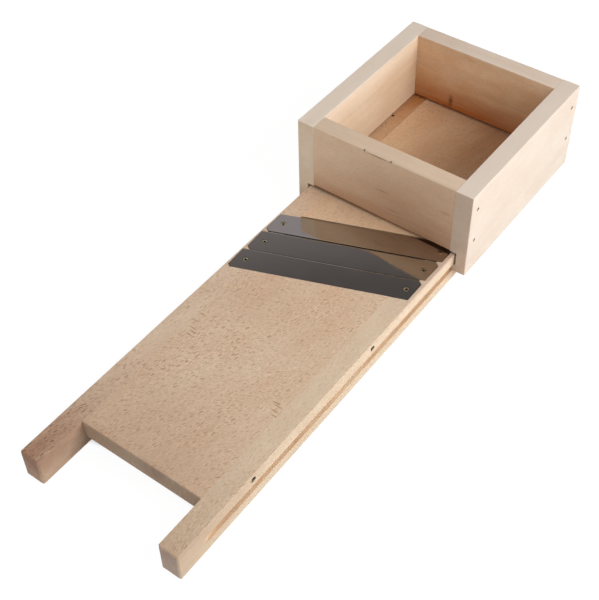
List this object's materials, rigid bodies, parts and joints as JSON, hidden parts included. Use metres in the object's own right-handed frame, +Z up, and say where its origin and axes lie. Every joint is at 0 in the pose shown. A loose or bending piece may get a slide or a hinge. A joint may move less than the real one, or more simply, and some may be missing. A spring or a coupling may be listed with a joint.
{
  "type": "cabbage shredder",
  "caption": "Wooden cabbage shredder: grooved side rails with handle ends carry boards and slanting steel knives, and an open box slides along the rails over the knives.",
  "frame": {"origin": "middle of the bounding box at its base, on the surface that the rails stand on", "axes": "+X across to the right rail, +Y along the rails from the handles to the far end, +Z up"},
  "size_m": [0.21, 0.65, 0.117],
  "materials": {
    "rail_beech": "planed and sanded, unfinished",
    "board_beech": "planed and sanded, unfinished",
    "box_beech": "planed and sanded, unfinished",
    "knife_steel": "ground bright",
    "screw_steel": "zinc plated",
    "nail_steel": "bare"
  },
  "bodies": {
    "frame": {"left_rail": "rail_beech", "right_rail": "rail_beech", "front_board": "board_beech", "back_board": "board_beech", "first_knife": "knife_steel", "second_knife": "knife_steel", "third_knife": "knife_steel", "first_knife_screws": "screw_steel", "second_knife_screws": "screw_steel", "third_knife_screws": "screw_steel", "front_board_left_screws": "screw_steel", "front_board_right_screws": "screw_steel", "back_board_left_screws": "screw_steel", "back_board_right_screws": "screw_steel"},
    "sliding_box": {"box_left_wall": "box_beech", "box_right_wall": "box_beech", "box_front_wall": "box_beech", "box_back_wall": "box_beech", "front_left_nails": "nail_steel", "front_right_nails": "nail_steel", "back_left_nails": "nail_steel", "back_right_nails": "nail_steel"}
  },
  "joints": [
    {"name": "box_slide", "type": "slide", "parent": "frame", "child": "sliding_box", "axis": [0, -1, 0], "range_m": [0, 0.37]}
  ]
}
